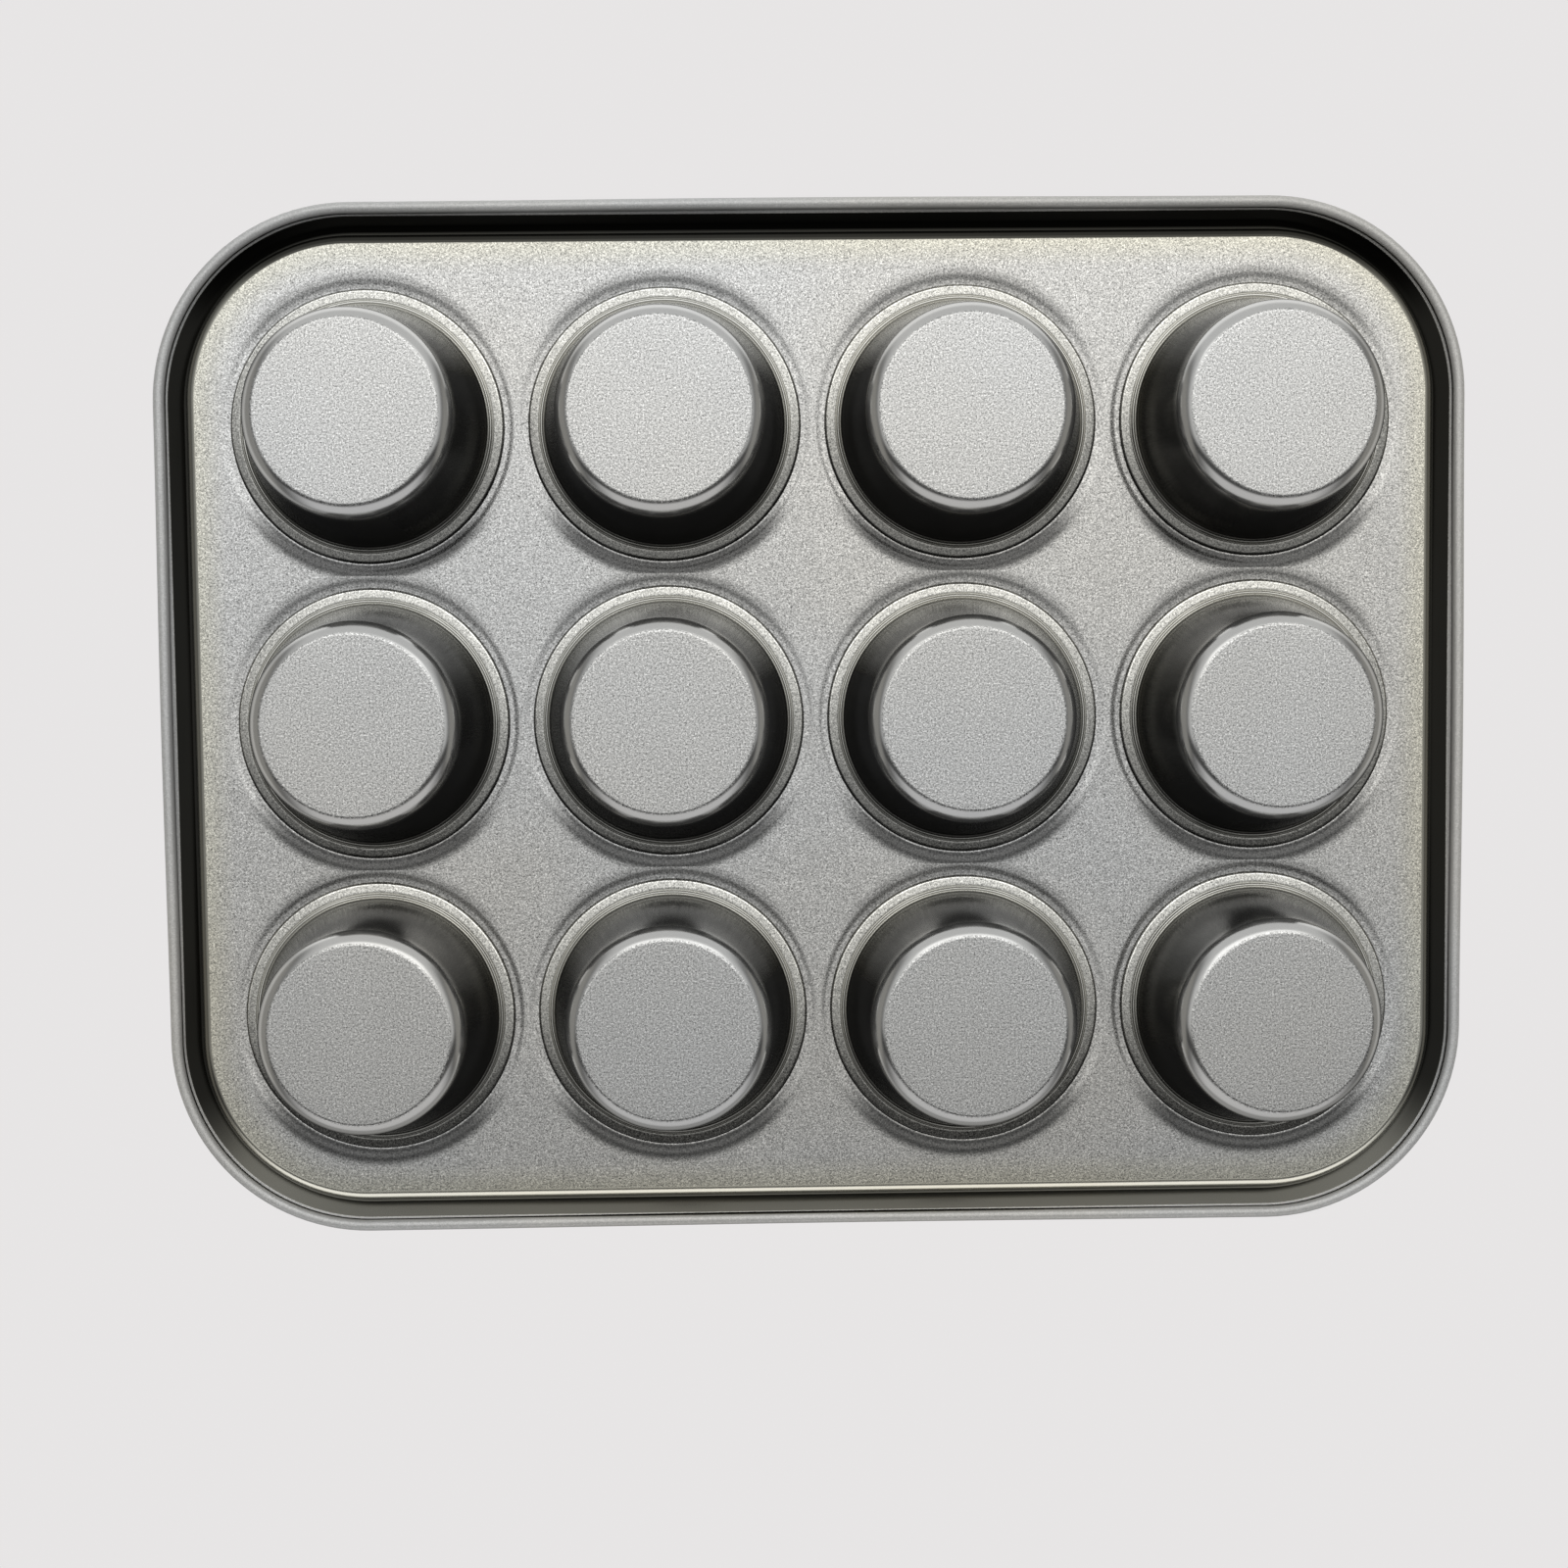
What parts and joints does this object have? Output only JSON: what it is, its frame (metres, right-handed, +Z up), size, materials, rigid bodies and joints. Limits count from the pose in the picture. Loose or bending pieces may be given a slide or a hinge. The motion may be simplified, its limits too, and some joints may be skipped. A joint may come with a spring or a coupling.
{
  "type": "muffin tin",
  "caption": "Rectangular baking tin with round tapered cups seamed into a flat deck inside a rolled wire rim.",
  "frame": {"origin": "centre of the tin, in the plane under the cup bottoms", "axes": "+X along the long side, +Y along the short side, +Z up out of the cup mouths"},
  "size_m": [0.3514, 0.277, 0.0346],
  "materials": {
    "coated_deck": "non-stick coating with metal flake, satin, on the deck and its rolled rim",
    "coated_cup": "non-stick coating with metal flake, speckled on the flats and smoother on the drawn walls",
    "wire": "bare drawn wire, hidden in the rolled rim"
  },
  "bodies": {
    "root": {"deck_frame": "coated_deck", "rim_wire": "wire", "cup_r1_c1": "coated_cup", "cup_r1_c2": "coated_cup", "cup_r1_c3": "coated_cup", "cup_r1_c4": "coated_cup", "cup_r2_c1": "coated_cup", "cup_r2_c2": "coated_cup", "cup_r2_c3": "coated_cup", "cup_r2_c4": "coated_cup", "cup_r3_c1": "coated_cup", "cup_r3_c2": "coated_cup", "cup_r3_c3": "coated_cup", "cup_r3_c4": "coated_cup"}
  },
  "joints": []
}
